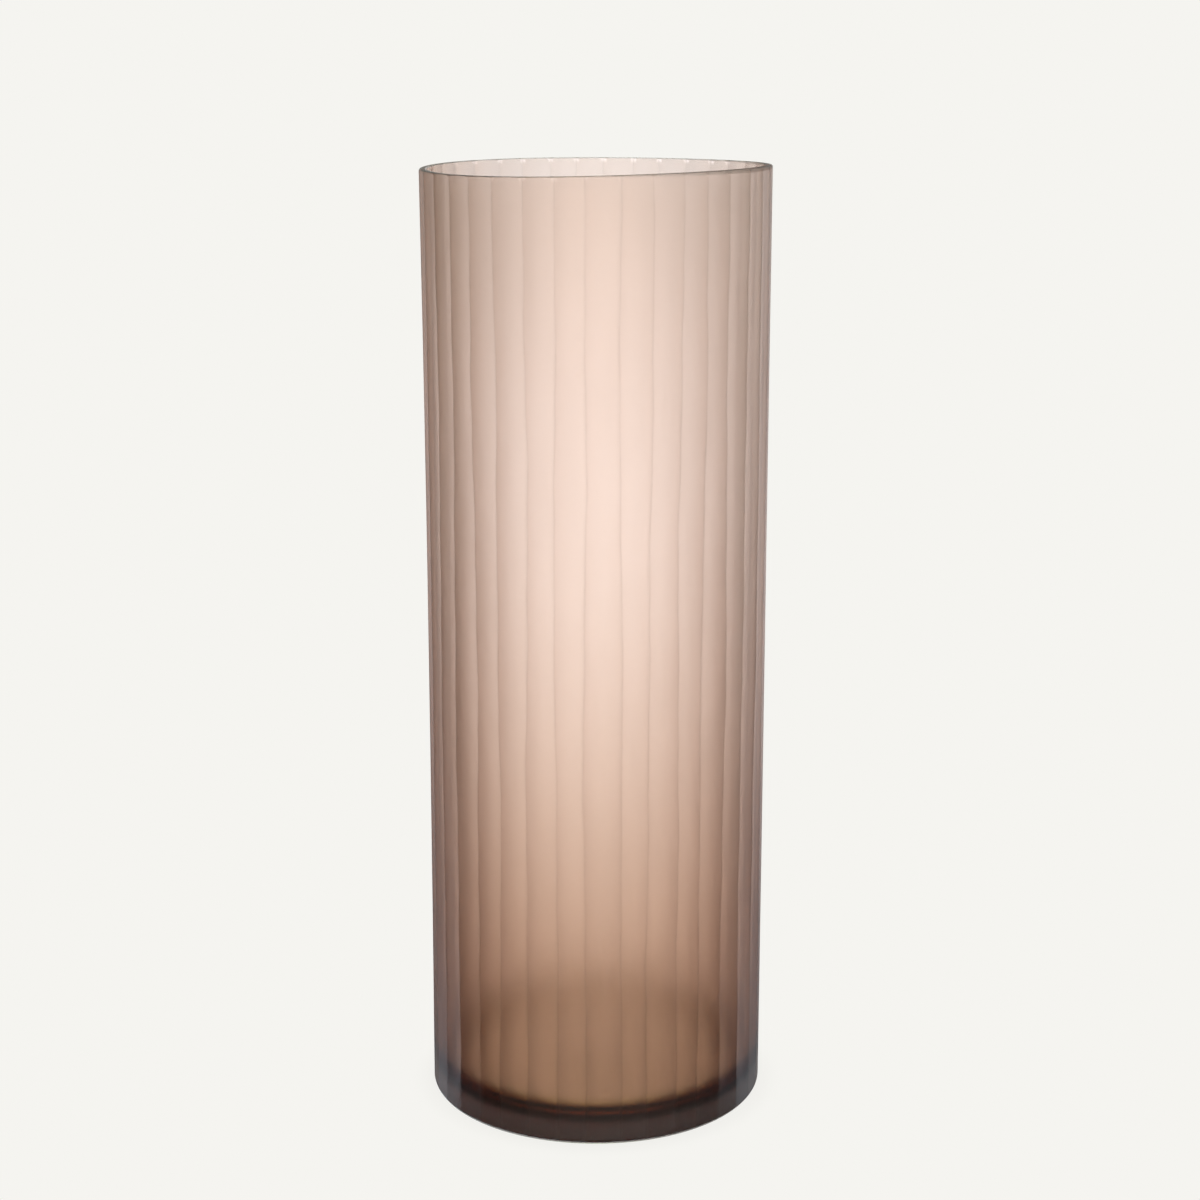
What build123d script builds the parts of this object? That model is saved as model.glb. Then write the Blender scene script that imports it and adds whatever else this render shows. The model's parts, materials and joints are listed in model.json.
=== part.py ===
from build123d import *
from math import cos, radians, sin
import os

# A tall cylinder vase of cased glass: a brown glass cup, the colour lining, fused inside a thick
# clear glass casing. The casing's outside is cut all round into shallow upright flutes that meet
# in sharp ridges. The origin is the centre of the flat underside, and +Z runs up to the mouth.

# Driving dimensions, in millimetres and degrees
HEIGHT = 500.0
OUTER_DIAMETER = 180.0  # over the ridges between the flutes
WALL = 4.0  # both layers together, under a ridge
FLOOR = 12.5  # both layers together
INNER_CORNER_RADIUS = 14.0  # where the lining's floor turns up into its wall
FUSED_CORNER_RADIUS = 6.0  # the same corner on the outside of the lining, where the brown pools

FLUTE_COUNT = 36
FLUTE_DEPTH = 0.5  # from a ridge down to the middle of a flute
FIRST_RIDGE_ANGLE = 6.8  # from +X

LINING_AT_RIM = 0.8  # the lining is blown thin above LINING_SWELL_TOP
LINING_AT_FOOT = 2.1  # and thickens steadily below it
LINING_SWELL_TOP = 380.0
LINING_FLOOR = 2.0

RIM_OUTER_BEVEL = 0.9
RIM_INNER_BEVEL = 0.25
HEEL_RADIUS = 3.5
PONTIL_RADIUS = 24.0  # the ground and polished hollow in the middle of the underside
PONTIL_DEPTH = 0.4

# Sizes that follow
OUTER_RADIUS = OUTER_DIAMETER / 2
INNER_RADIUS = OUTER_RADIUS - WALL
FLUTE_PITCH = 360 / FLUTE_COUNT
CASING_FLOOR = FLOOR - LINING_FLOOR
INNER_CORNER_TOP = FLOOR + INNER_CORNER_RADIUS
FUSED_CORNER_TOP = CASING_FLOOR + FUSED_CORNER_RADIUS
LINING_RIM_RADIUS = INNER_RADIUS + LINING_AT_RIM
LINING_FOOT_RADIUS = INNER_RADIUS + LINING_AT_FOOT
PONTIL_SPHERE_RADIUS = (PONTIL_RADIUS**2 + PONTIL_DEPTH**2) / (2 * PONTIL_DEPTH)


def on_circle(radius, angle):
    """The point at this radius and angle, in degrees, round the vase's axis."""
    return radius * cos(radians(angle)), radius * sin(radians(angle))


# The surface where the two layers are fused, drawn as radius and height from the rim down to the
# axis. It is the lining's outside and the casing's inside, so the layers touch all over and
# overlap nowhere.
with BuildLine() as fused_surface:
    thin_wall = Line((LINING_RIM_RADIUS, HEIGHT), (LINING_RIM_RADIUS, LINING_SWELL_TOP))
    swell = TangentArc(thin_wall @ 1, (LINING_FOOT_RADIUS, FUSED_CORNER_TOP), tangent=thin_wall % 1)
    corner = JernArc(swell @ 1, (0, -1), FUSED_CORNER_RADIUS, -90)
    Line(corner @ 1, (0, CASING_FLOOR))

# Colour lining: the brown glass cup that holds the water.
with BuildPart() as colour_lining:
    with BuildSketch(Plane.XZ):
        with BuildLine():
            add(fused_surface.line)
            Line((0, CASING_FLOOR), (0, FLOOR))
            Line((0, FLOOR), (INNER_RADIUS - INNER_CORNER_RADIUS, FLOOR))
            JernArc((INNER_RADIUS - INNER_CORNER_RADIUS, FLOOR), (1, 0), INNER_CORNER_RADIUS, 90)
            Polyline(
                (INNER_RADIUS, INNER_CORNER_TOP),
                (INNER_RADIUS, HEIGHT - RIM_INNER_BEVEL),
                (INNER_RADIUS + RIM_INNER_BEVEL, HEIGHT),
                (LINING_RIM_RADIUS, HEIGHT),
            )
        make_face()
    revolve(axis=Axis.Z)
colour_lining.part.label = "colour_lining"

# Outer casing: the clear glass round the lining, with the thick foot and the cut flutes.
with BuildPart() as outer_casing:
    with BuildSketch():
        with BuildLine():
            for flute in range(FLUTE_COUNT):
                ridge_angle = FIRST_RIDGE_ANGLE + flute * FLUTE_PITCH
                ThreePointArc(
                    on_circle(OUTER_RADIUS, ridge_angle),
                    on_circle(OUTER_RADIUS - FLUTE_DEPTH, ridge_angle + FLUTE_PITCH / 2),
                    on_circle(OUTER_RADIUS, ridge_angle + FLUTE_PITCH),
                )
        make_face()
    extrude(amount=HEIGHT)
    # The rim's bevel and the rounded heel are turned, so they cut across ridges and flutes alike.
    with BuildSketch(Plane.XZ):
        with BuildLine():
            Polyline(
                (0, 0),
                (0, HEIGHT),
                (OUTER_RADIUS - RIM_OUTER_BEVEL, HEIGHT),
                (OUTER_RADIUS, HEIGHT - RIM_OUTER_BEVEL),
                (OUTER_RADIUS, HEEL_RADIUS),
            )
            JernArc((OUTER_RADIUS, HEEL_RADIUS), (0, -1), HEEL_RADIUS, -90)
            Line((OUTER_RADIUS - HEEL_RADIUS, 0), (0, 0))
        make_face()
    revolve(axis=Axis.Z, mode=Mode.INTERSECT)
    # The room that the lining fills.
    with BuildSketch(Plane.XZ):
        with BuildLine():
            add(fused_surface.line)
            Polyline((0, CASING_FLOOR), (0, HEIGHT), (LINING_RIM_RADIUS, HEIGHT))
        make_face()
    revolve(axis=Axis.Z, mode=Mode.SUBTRACT)
    # The pontil hollow, the top of a large sphere.
    with Locations((0, 0, PONTIL_DEPTH - PONTIL_SPHERE_RADIUS)):
        Sphere(PONTIL_SPHERE_RADIUS, mode=Mode.SUBTRACT)
outer_casing.part.label = "outer_casing"

os.makedirs("parts", exist_ok=True)
for piece in (colour_lining, outer_casing):
    export_step(piece.part, f"parts/{piece.part.label}.step")
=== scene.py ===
import json
import random
from math import asin, atan2, cos, exp, pi, radians, sin, sqrt, tau

import bpy
from mathutils import Euler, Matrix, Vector


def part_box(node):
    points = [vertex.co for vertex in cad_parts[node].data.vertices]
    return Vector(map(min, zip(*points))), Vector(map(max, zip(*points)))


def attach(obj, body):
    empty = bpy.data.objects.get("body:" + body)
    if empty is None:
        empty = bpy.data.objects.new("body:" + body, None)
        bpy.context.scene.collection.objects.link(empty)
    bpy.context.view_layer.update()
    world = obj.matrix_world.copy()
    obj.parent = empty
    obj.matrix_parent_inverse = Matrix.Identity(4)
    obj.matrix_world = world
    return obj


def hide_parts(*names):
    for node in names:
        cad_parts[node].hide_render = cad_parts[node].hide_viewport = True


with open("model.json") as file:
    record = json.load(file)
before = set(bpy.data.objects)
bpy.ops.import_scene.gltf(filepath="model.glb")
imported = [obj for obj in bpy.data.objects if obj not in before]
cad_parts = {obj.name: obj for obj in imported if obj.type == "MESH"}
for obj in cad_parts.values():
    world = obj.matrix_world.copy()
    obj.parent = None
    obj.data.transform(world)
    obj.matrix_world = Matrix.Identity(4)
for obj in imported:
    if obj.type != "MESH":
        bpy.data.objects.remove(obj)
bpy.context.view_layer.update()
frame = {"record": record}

# A tall cased-glass cylinder vase. Two pieces are built here, both closed meshes: the clear casing,
# with its hand-cut flutes outside, and the brown lining inside it. The two glasses are fused, so
# the faces where they meet let light straight through. All lengths are metres.

MM = 0.001
PAPER = (0.913, 0.905, 0.871, 1)  # the pale floor and backdrop
SATIN = 0.42  # roughness of the casing's outside
BROWN = (0.635, 0.27, 0.0, 1)  # what the brown glass lets through
BROWN_DENSITY = 400.0  # how strongly it takes up the rest, per metre

CAMERA_PLACE = (0, -1.2085, 0.5638)
CAMERA_PITCH = radians(13.57)  # downwards
CAMERA_TURN = radians(-0.09)

# Sizes: from the frame where it has them, and otherwise the same as in the CAD
_, casing_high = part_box("outer_casing")
lining_low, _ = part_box("colour_lining")
mouth = next(mount for mount in frame["record"]["mounts"] if mount["name"] == "mouth")

HEIGHT = casing_high.z
INNER_RADIUS = mouth["dims"]["r_mm"] * MM
WALL = 4.0 * MM
OUTER_RADIUS = INNER_RADIUS + WALL
CASING_FLOOR = lining_low.z  # top of the thick clear foot
LINING_FLOOR = 2.0 * MM
FLOOR = CASING_FLOOR + LINING_FLOOR  # top of the lining's floor
CORNER_RADIUS = 14.0 * MM  # of the lining's inside
FUSED_CORNER_RADIUS = 6.0 * MM  # of the lining's outside

FLUTE_COUNT = 36
FLUTE_PITCH = tau / FLUTE_COUNT
FIRST_RIDGE_ANGLE = radians(6.8)
FLUTE_DEPTH = 0.5 * MM
FLUTE_FADE = 28.0 * MM  # height over which the cuts run out towards the foot
FLUTE_LOST = 0.85  # share of their depth that is gone at the very foot
RIDGE_SOFTNESS = 0.018  # share of a flute's width over which its ridge is rounded
RIDGE_WIDTH = 0.045  # share of a flute's width over which its ridge is tinted

RIM_RADIUS = 1.0 * MM  # rounding of the rim's outer edge
RIM_INNER_BEVEL = 0.25 * MM
HEEL_RADIUS = 3.5 * MM
PONTIL_RADIUS = 24.0 * MM
PONTIL_DEPTH = 0.4 * MM
LINING_AT_RIM = 0.8 * MM
LINING_AT_FOOT = 2.1 * MM
LINING_SWELL_TOP = 380.0 * MM
FUSED_GAP = 0.02 * MM  # keeps the two fused faces from lying in exactly the same place
CENTRE_RADII = (0.06, 0.04, 0.02, 0.005)  # of the rings across a floor, from its edge to its middle

# How far the vase is out of true: a middle drawn in, a slow ripple, and a rim cut out of level
DRAWN_IN = 0.9 * MM
RIPPLE = 0.2 * MM
RIM_TILT = 0.95 * MM
RIM_TWIST = 0.55 * MM


# Mesh helpers

def on_axis(angle, radius, z):
    """The point at this angle, radius and height round the vase's axis."""
    return (radius * cos(angle), radius * sin(angle), z)


def even_steps(low, high, count):
    """count + 1 numbers evenly from low to high."""
    return [low + (high - low) * step / count for step in range(count + 1)]


def hand_blown(point):
    """Moves a point as a glassworker's hand does: a slightly bowed body, an unevenly cut rim."""
    x, y, z = point
    angle = atan2(y, x)
    bow = ((z - 0.48 * HEIGHT) / (0.52 * HEIGHT)) ** 2
    swell = DRAWN_IN * (bow - 0.3) * (0.5 - 0.5 * cos(angle))
    swell += RIPPLE * sin(2 * angle + 0.7) * sin(9 * z + 1.1)
    scale = 1 + swell / OUTER_RADIUS
    near_rim = max(0, z / HEIGHT - 0.85) / 0.15
    z += near_rim**2 * (RIM_TILT * cos(angle) - RIM_TWIST * sin(2 * angle))
    return x * scale, y * scale, z


def rings_to_mesh(name, rings):
    """A closed mesh through rings of equally many points, closed by a fan at both ends."""
    count = len(rings[0])
    points = [hand_blown(point) for ring in rings for point in ring]
    faces = []
    for row in range(len(rings) - 1):
        low, high = row * count, (row + 1) * count
        for column in range(count):
            following = (column + 1) % count
            faces.append((low + column, low + following, high + following, high + column))
    for start, flipped in ((0, True), ((len(rings) - 1) * count, False)):
        end_ring = [Vector(point) for point in points[start:start + count]]
        points.append(tuple(sum(end_ring, Vector()) / count))
        hub = len(points) - 1
        for column in range(count):
            here, following = start + column, start + (column + 1) % count
            faces.append((following, here, hub) if flipped else (here, following, hub))
    mesh = bpy.data.meshes.new(name)
    mesh.from_pydata(points, [], faces)
    mesh.validate()
    mesh.shade_smooth()
    mesh.set_sharp_from_angle(angle=radians(30))
    piece = bpy.data.objects.new(name, mesh)
    bpy.context.scene.collection.objects.link(piece)
    return piece


def waves(generator, count, shortest, longest, size):
    """A smooth random function of height: a sum of sines between two wavelengths, about size high."""
    parts = []
    for number in range(count):
        share = number / max(1, count - 1)
        length = longest * (shortest / longest) ** share
        swing = size * 0.62**number * generator.uniform(0.6, 1.2)
        parts.append((swing, tau / length, generator.uniform(0, tau)))
    return lambda z: sum(swing * sin(rate * z + phase) for swing, rate, phase in parts)


# The cut flutes: each ridge stands a little off its place and wanders as it rises, and each flute's
# depth varies with height.

cutter = random.Random(7)
ridge_offsets = [cutter.gauss(0, 0.06) * FLUTE_PITCH for _ in range(FLUTE_COUNT)]
ridge_wanders = [waves(cutter, 4, 0.045, 0.6, 0.05 * FLUTE_PITCH) for _ in range(FLUTE_COUNT)]
depth_wanders = [waves(cutter, 3, 0.06, 0.5, 0.10) for _ in range(FLUTE_COUNT)]

# Where the columns of points stand across a flute: closest together at its ridges
ACROSS = (0.0, 0.012, 0.03, 0.06, 0.12, 0.21, 0.33, 0.5, 0.67, 0.79, 0.88, 0.94, 0.97, 0.988)


def ridge_angle(flute, z):
    """Angle of the ridge on a flute's clockwise side, at this height."""
    turn, index = divmod(flute, FLUTE_COUNT)
    plain = FIRST_RIDGE_ANGLE + flute * FLUTE_PITCH
    return plain + ridge_offsets[index] + ridge_wanders[index](z)


def outer_column(flute, across, z):
    """(angle, radius) of the cut outside, a share of the way across a flute, at this height."""
    low, high = ridge_angle(flute, z), ridge_angle(flute + 1, z)
    width = (high - low) / FLUTE_PITCH
    from_ridge = min(across, 1 - across)
    soft = sqrt(from_ridge**2 + RIDGE_SOFTNESS**2) - RIDGE_SOFTNESS
    fade = 1 - FLUTE_LOST * max(0, 1 - z / FLUTE_FADE) ** 2
    depth = FLUTE_DEPTH * fade * width**2 * (1 + depth_wanders[flute](z))
    return low + (high - low) * across, OUTER_RADIUS - depth * 4 * soft * (1 - soft)


def outer_columns(z):
    """(angle, radius) of every column of the cut outside, at this height."""
    return [outer_column(flute, across, z) for flute in range(FLUTE_COUNT) for across in ACROSS]


# The two pieces

def lining_outer_radius(z):
    """Radius of the fused surface on the wall: straight above the swell, thicker glass below."""
    corner_top = CASING_FLOOR + FUSED_CORNER_RADIUS
    share = min(1, max(0, (LINING_SWELL_TOP - z) / (LINING_SWELL_TOP - corner_top)))
    return INNER_RADIUS + LINING_AT_RIM + (LINING_AT_FOOT - LINING_AT_RIM) * share**2


def fused_profile(gap):
    """(radius, z) of the fused surface from the rim down to near the axis, moved out by a gap."""
    corner = FUSED_CORNER_RADIUS
    corner_top = CASING_FLOOR + corner
    profile = [(lining_outer_radius(z) + gap, z) for z in even_steps(HEIGHT, corner_top, 48)]
    centre = INNER_RADIUS + LINING_AT_FOOT - corner
    for angle in even_steps(0, pi / 2, 8)[1:]:
        profile.append((centre + (corner + gap) * cos(angle), corner_top - (corner + gap) * sin(angle)))
    profile += [(radius, CASING_FLOOR - gap) for radius in CENTRE_RADII]
    return profile


def build_casing():
    """The clear casing, ring by ring: underside, heel, cut outside, rim, then down its inside."""
    angles = [angle for angle, _ in outer_columns(0)]
    rings = []
    sphere = (PONTIL_RADIUS**2 + PONTIL_DEPTH**2) / (2 * PONTIL_DEPTH)
    for radius in even_steps(2 * MM, PONTIL_RADIUS, 8):
        z = PONTIL_DEPTH - sphere + sqrt(sphere**2 - radius**2)
        rings.append([on_axis(angle, radius, max(z, 0)) for angle in angles])
    for radius in (0.04, 0.06, 0.08):  # the flat underside
        rings.append([on_axis(angle, radius, 0) for angle in angles])
    heel_centre = OUTER_RADIUS - HEEL_RADIUS
    foot = outer_columns(HEEL_RADIUS / 2)
    for share in even_steps(0, 1, 8):
        ring = []
        for angle, radius in foot:
            reach = min(1.0, (radius - heel_centre) / HEEL_RADIUS)
            turn = share * asin(reach)
            rise = HEEL_RADIUS * (1 - cos(turn))
            ring.append(on_axis(angle, heel_centre + HEEL_RADIUS * sin(turn), rise))
        rings.append(ring)
    for z in even_steps(HEEL_RADIUS + 0.5 * MM, HEIGHT - 3 * MM, 124):
        rings.append([on_axis(angle, radius, z) for angle, radius in outer_columns(z)])
    lip = outer_columns(HEIGHT)
    lip_centre = OUTER_RADIUS - RIM_RADIUS
    lip_angles = [angle for angle, _ in lip]
    for share in even_steps(1, 0, 6):
        ring = []
        for angle, radius in lip:
            reach = min(1.0, (radius - lip_centre) / RIM_RADIUS)
            turn = share * asin(reach)
            rise = HEIGHT - RIM_RADIUS * (1 - cos(turn))
            ring.append(on_axis(angle, lip_centre + RIM_RADIUS * sin(turn), rise))
        rings.append(ring)
    for radius, z in fused_profile(FUSED_GAP):
        rings.append([on_axis(angle, radius, z) for angle in lip_angles])
    piece = rings_to_mesh("casing_glass", rings)
    ridge = piece.data.attributes.new("ridge", "FLOAT", "POINT")
    nearness = [exp(-((min(across, 1 - across) / RIDGE_WIDTH) ** 2)) for across in ACROSS] * FLUTE_COUNT
    ridge.data.foreach_set("value", nearness * len(rings) + [0.0, 0.0])  # the two fans' hubs last
    return piece


def build_lining():
    """The brown lining, ring by ring: up its fused outside, over the rim, then down its inside."""
    angles = even_steps(0, tau, 216)[:-1]
    profile = list(reversed(fused_profile(0)))
    profile.append((INNER_RADIUS + RIM_INNER_BEVEL, HEIGHT))
    wall_bottom = FLOOR + CORNER_RADIUS
    profile += [(INNER_RADIUS, z) for z in even_steps(HEIGHT - RIM_INNER_BEVEL, wall_bottom, 60)]
    centre = INNER_RADIUS - CORNER_RADIUS
    for angle in even_steps(0, pi / 2, 10)[1:]:
        profile.append((centre + CORNER_RADIUS * cos(angle), wall_bottom - CORNER_RADIUS * sin(angle)))
    profile += [(radius, FLOOR) for radius in CENTRE_RADII]
    rings = [[on_axis(angle, radius, z) for angle in angles] for radius, z in profile]
    return rings_to_mesh("lining_glass", rings)


# Materials

class Graph:
    """A node tree being drawn. Its methods add nodes and return their output sockets."""

    def __init__(self, tree):
        self.tree = tree

    def node(self, kind, **inputs):
        """Adds a node; each input is a number, a tuple or the socket to link from."""
        node = self.tree.nodes.new(kind)
        for name, value in inputs.items():
            self.feed(node.inputs[name.replace("_", " ")], value)
        return node

    def feed(self, entry, value):
        if isinstance(value, bpy.types.NodeSocket):
            self.tree.links.new(value, entry)
        else:
            entry.default_value = value

    def math(self, operation, *values):
        node = self.tree.nodes.new("ShaderNodeMath")
        node.operation = operation
        for entry, value in zip(node.inputs, values):
            self.feed(entry, value)
        return node.outputs["Value"]

    def vector(self, operation, first, second=None, scale=None):
        node = self.tree.nodes.new("ShaderNodeVectorMath")
        node.operation = operation
        self.feed(node.inputs[0], first)
        if second is not None:
            self.feed(node.inputs[1], second)
        if scale is not None:
            self.feed(node.inputs["Scale"], scale)
        return node.outputs["Vector"]

    def add(self, *values):
        total = values[0]
        for value in values[1:]:
            total = self.math("ADD", total, value)
        return total

    def times(self, *values):
        product = values[0]
        for value in values[1:]:
            product = self.math("MULTIPLY", product, value)
        return product

    def blend(self, share, first, second):
        """first where share is 0, second where it is 1."""
        return self.add(first, self.times(share, self.math("SUBTRACT", second, first)))

    def bell(self, value, middle, width):
        """exp(-((value - middle) / width) squared)."""
        away = self.math("DIVIDE", self.math("SUBTRACT", value, middle), width)
        return self.math("EXPONENT", self.times(away, away, -1.0))

    def rise(self, value, low, high, at_low=0.0, at_high=1.0):
        """A smooth step from at_low to at_high as the value goes from low to high."""
        node = self.node("ShaderNodeMapRange", Value=value, From_Min=low, From_Max=high)
        node.interpolation_type = "SMOOTHSTEP"
        node.inputs["To Min"].default_value = at_low
        node.inputs["To Max"].default_value = at_high
        return node.outputs["Result"]

    def coordinates(self, kind="Object"):
        return self.node("ShaderNodeTexCoord").outputs[kind]

    def split(self, vector):
        node = self.node("ShaderNodeSeparateXYZ", Vector=vector)
        return [node.outputs[axis] for axis in "XYZ"]

    def noise(self, place, per_metre, detail=2.0):
        """Noise about zero, with this many bumps to the metre along each axis."""
        stretched = self.vector("MULTIPLY", place, per_metre)
        node = self.node("ShaderNodeTexNoise", Vector=stretched, Scale=1.0, Detail=detail)
        return self.math("SUBTRACT", node.outputs["Fac"], 0.5)

    def attribute(self, name):
        node = self.node("ShaderNodeAttribute")
        node.attribute_name = name
        return node.outputs["Fac"]

    def bump(self, height, distance):
        return self.node("ShaderNodeBump", Height=height, Distance=distance).outputs["Normal"]

    def glass(self, colour, roughness, normal):
        node = self.node(
            "ShaderNodeBsdfPrincipled", Base_Color=colour, Transmission_Weight=1.0, IOR=1.5,
            Roughness=roughness, Normal=normal,
        )
        return node.outputs["BSDF"]


def new_material(name):
    material = bpy.data.materials.new(name)
    material.use_nodes = True
    material.node_tree.nodes.clear()
    return material, Graph(material.node_tree)


def ground_rim(graph, height):
    """1 on the ground top face of the rim, 0 below it."""
    return graph.rise(height, HEIGHT - 0.9 * MM, HEIGHT - 0.3 * MM)


def casing_material():
    """Clear glass: satin on the cut outside, coarser on the ground rim, finer on the underside."""
    material, graph = new_material("satin_clear_glass")
    place = graph.coordinates()
    height = graph.split(place)[2]
    blotches = graph.noise(place, (28, 28, 11), 4.0)
    grain = graph.noise(place, (1500, 1500, 600), 3.0)
    streaks = graph.noise(place, (420, 420, 16), 2.0)
    scuffs = graph.noise(place, (700, 90, 300), 3.0)
    underside = graph.rise(height, 1.3 * MM, 3.0 * MM, 1.0, 0.0)
    ridge = graph.attribute("ridge")
    satin = graph.add(
        SATIN,
        graph.times(blotches, 0.10),
        graph.times(streaks, 0.05),
        graph.times(ridge, 0.07),
        graph.times(ground_rim(graph, height), 0.25),
    )
    polish = graph.add(0.16, graph.times(graph.math("MAXIMUM", scuffs, 0.0), 0.3))
    roughness = graph.blend(underside, satin, polish)
    scratches = graph.times(scuffs, underside, 0.3)
    relief = graph.add(graph.times(streaks, 0.5), graph.times(grain, 0.25), scratches)
    ridge_tint = graph.rise(height, 60 * MM, 150 * MM, -0.18, -0.09)  # darker ridges low down
    shade = graph.add(0.985, graph.times(blotches, 0.02), graph.times(ridge, ridge_tint))
    colour = graph.vector("SCALE", (1.0, 1.0, 1.0), scale=shade)
    glass = graph.glass(colour, roughness, graph.bump(relief, 0.03 * MM))
    graph.node("ShaderNodeOutputMaterial", Surface=glass)
    return material


def lining_material():
    """Brown glass: fire-polished inside and a little wavy, duller at the bottom, faintly streaked."""
    material, graph = new_material("brown_glass")
    place = graph.coordinates()
    height = graph.split(place)[2]
    waviness = graph.noise(place, (26, 26, 9), 2.0)
    streaks = graph.noise(place, (90, 90, 7), 3.0)
    bottom = graph.rise(height, FLOOR + CORNER_RADIUS, FLOOR + 3 * CORNER_RADIUS, 0.18, 0.0)
    ground = graph.times(ground_rim(graph, height), 0.45)
    roughness = graph.add(0.06, bottom, graph.times(waviness, 0.06), ground)
    tint = graph.vector("SCALE", (0.05, 0.07, 0.09), scale=streaks)
    colour = graph.vector("ADD", (0.98, 0.97, 0.975), tint)
    glass = graph.glass(colour, roughness, graph.bump(waviness, 0.25 * MM))
    clear = graph.node("ShaderNodeBsdfTransparent").outputs["BSDF"]
    surface = graph.node("ShaderNodeMixShader", Fac=graph.attribute("fused"))
    graph.feed(surface.inputs[1], glass)
    graph.feed(surface.inputs[2], clear)
    brown = graph.node("ShaderNodeVolumeAbsorption", Color=BROWN, Density=BROWN_DENSITY)
    output = graph.node("ShaderNodeOutputMaterial", Surface=surface.outputs["Shader"])
    graph.feed(output.inputs["Volume"], brown.outputs["Volume"])
    return material


def fused_material():
    """Nothing to see: the two glasses are one where they join."""
    material, graph = new_material("fused_join")
    clear = graph.node("ShaderNodeBsdfTransparent").outputs["BSDF"]
    graph.node("ShaderNodeOutputMaterial", Surface=clear)
    return material


def outwards(face):
    """How squarely a face looks away from the vase's axis: 1 straight out, -1 straight in."""
    radial = Vector((face.center.x, face.center.y, 0))
    return face.normal.dot(radial.normalized())


def casing_face_fused(face):
    """Whether this is a face of the casing's inside: its wall, corner or floor."""
    upper_side = face.normal.z > 0.3 and face.center.z < HEIGHT - 5 * MM
    return face.center.z > CASING_FLOOR - 1 * MM and (outwards(face) < -0.3 or upper_side)


def lining_face_fused(face):
    """Whether this is a face of the lining's outside or underside."""
    return outwards(face) > 0.3 or face.normal.z < -0.3


def mark_fused(piece, is_fused):
    """Writes the face attribute fused: 1 where the face is one that the other glass is fused to."""
    attribute = piece.data.attributes.new("fused", "FLOAT", "FACE")
    values = [1.0 if is_fused(face) else 0.0 for face in piece.data.polygons]
    attribute.data.foreach_set("value", values)
    return values


# Stage

def studio_light(graph):
    """Colour of the light reaching the glass, by direction from the camera's own axis."""
    right, up, ahead = graph.split(graph.coordinates("Camera"))
    turn = graph.math("ARCTAN2", right, ahead)
    aside = graph.math("ABSOLUTE", turn)
    height = graph.math("ARCSINE", up)

    def lobe(across, middle, width, high, tall):
        """Light from about one direction: its middle and half-width across, then up, in degrees."""
        sideways = graph.bell(across, radians(middle), radians(width))
        return graph.times(sideways, graph.bell(height, radians(high), radians(tall)))

    room = graph.rise(height, radians(-15), radians(1))  # all round, above the table
    backdrop = lobe(aside, 0, 60, 1.6, 10)
    high_backdrop = lobe(aside, 0, 22, 20, 5)
    bright_middle = lobe(aside, 0, 10, -1.6, 9)
    facing = graph.rise(aside, radians(90), radians(180))
    behind = graph.times(facing, graph.bell(height, radians(-15), radians(10)))  # behind the camera
    to_the_right = graph.math("MAXIMUM", graph.math("SINE", turn), 0.0)
    window = graph.times(to_the_right, graph.rise(height, radians(-20), 0.0))
    near_table = lobe(aside, 0, 6, -36, 14)
    far_table = lobe(aside, 0, 6, -11, 6)
    table_left = lobe(turn, -44, 14, -18, 4)
    table_right = lobe(turn, 44, 14, -18, 4)

    lamps = (
        ((0.30, 0.37, 0.34), room),
        ((1.00, 0.66, 0.61), backdrop),
        ((0.78, 1.26, 1.58), bright_middle),
        ((3.60, 3.10, 2.70), behind),
        ((0.36, 0.27, 0.27), high_backdrop),
        ((0.47, 0.57, 0.64), window),
        ((2.00, 2.30, 1.52), near_table),
        ((1.05, 1.06, 0.92), far_table),
        ((2.00, 2.25, 2.60), table_left),
        ((1.35, 1.50, 1.70), table_right),
    )
    total = (0.0, 0.0, 0.0)
    for colour, strength in lamps:
        total = graph.vector("ADD", graph.vector("SCALE", colour, scale=strength), total)
    return total


def light_studio():
    """The world: plain pale paper to the camera, a soft studio to the glass."""
    world = bpy.data.worlds.new("studio")
    bpy.context.scene.world = world
    world.use_nodes = True
    world.node_tree.nodes.clear()
    graph = Graph(world.node_tree)
    light = graph.node("ShaderNodeBackground", Color=studio_light(graph))
    seen = graph.node("ShaderNodeBackground", Color=PAPER)
    path = graph.node("ShaderNodeLightPath")
    either = graph.node("ShaderNodeMixShader", Fac=path.outputs["Is Camera Ray"])
    graph.feed(either.inputs[1], light.outputs["Background"])
    graph.feed(either.inputs[2], seen.outputs["Background"])
    graph.node("ShaderNodeOutputWorld", Surface=either.outputs["Shader"])


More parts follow.
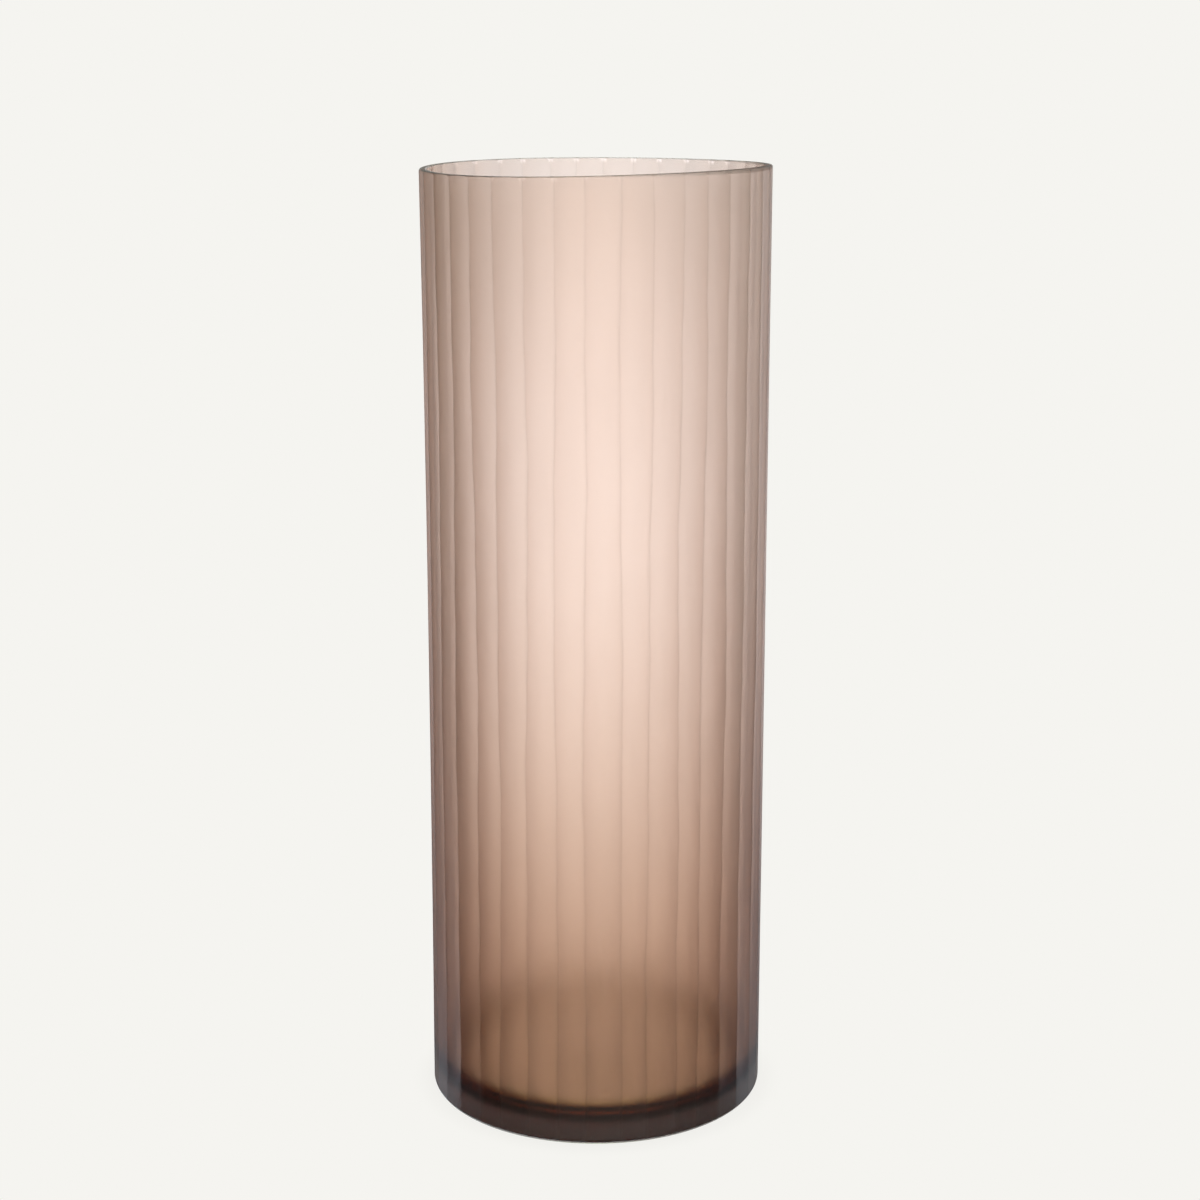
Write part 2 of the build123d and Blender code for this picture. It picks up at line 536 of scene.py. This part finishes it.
def lay_floor():
    """A wide pale floor, as bright as the backdrop and seen by the camera only, so no edge shows."""
    spokes = even_steps(0, tau, 96)[:-1]
    count = len(spokes)
    radii = (0.06, 0.12, 0.4, 6.0)
    points = [on_axis(angle, radius, 0) for radius in radii for angle in spokes]
    faces = [tuple(range(count))]
    for row in range(len(radii) - 1):
        inner, outer = row * count, (row + 1) * count
        for column in range(count):
            following = (column + 1) % count
            faces.append((inner + column, outer + column, outer + following, inner + following))
    mesh = bpy.data.meshes.new("floor")
    mesh.from_pydata(points, [], faces)
    floor = bpy.data.objects.new("floor", mesh)
    bpy.context.scene.collection.objects.link(floor)
    material, graph = new_material("pale_floor")
    place = graph.coordinates()
    x, y, _ = graph.split(place)
    radius = graph.math("SQRT", graph.add(graph.times(x, x), graph.times(y, y)))
    contact = graph.rise(radius, OUTER_RADIUS - 4 * MM, OUTER_RADIUS + 14 * MM, 0.95, 1.0)
    paper = graph.node("ShaderNodeEmission", Color=PAPER, Strength=contact)
    graph.node("ShaderNodeOutputMaterial", Surface=paper.outputs["Emission"])
    mesh.materials.append(material)
    floor.visible_diffuse = False
    floor.visible_glossy = False
    floor.visible_transmission = False
    floor.visible_shadow = False


def add_camera():
    """The photo's viewpoint: 1.2 m away, a little above the rim, looking down."""
    data = bpy.data.cameras.new("camera")
    data.lens = 69.93
    data.sensor_width = 36
    camera = bpy.data.objects.new("camera", data)
    bpy.context.scene.collection.objects.link(camera)
    camera.location = CAMERA_PLACE
    camera.rotation_euler = Euler((radians(90) - CAMERA_PITCH, 0, CAMERA_TURN))
    bpy.context.scene.camera = camera


# The vase, the stage and the render's limits

casing = build_casing()
lining = build_lining()

casing.data.materials.append(casing_material())
casing.data.materials.append(fused_material())
lining.data.materials.append(lining_material())
for face, value in zip(casing.data.polygons, mark_fused(casing, casing_face_fused)):
    face.material_index = int(value)
mark_fused(lining, lining_face_fused)

for piece, node, slot in (
    (casing, "outer_casing", "clear_casing"),
    (lining, "colour_lining", "brown_lining"),
):
    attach(piece, "root")
    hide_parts(node)

light_studio()
lay_floor()
add_camera()
scene = bpy.context.scene
scene.view_settings.view_transform = "Standard"
scene.cycles.transparent_max_bounces = 64
scene.cycles.max_bounces = 24
scene.cycles.transmission_bounces = 24
scene.cycles.glossy_bounces = 8
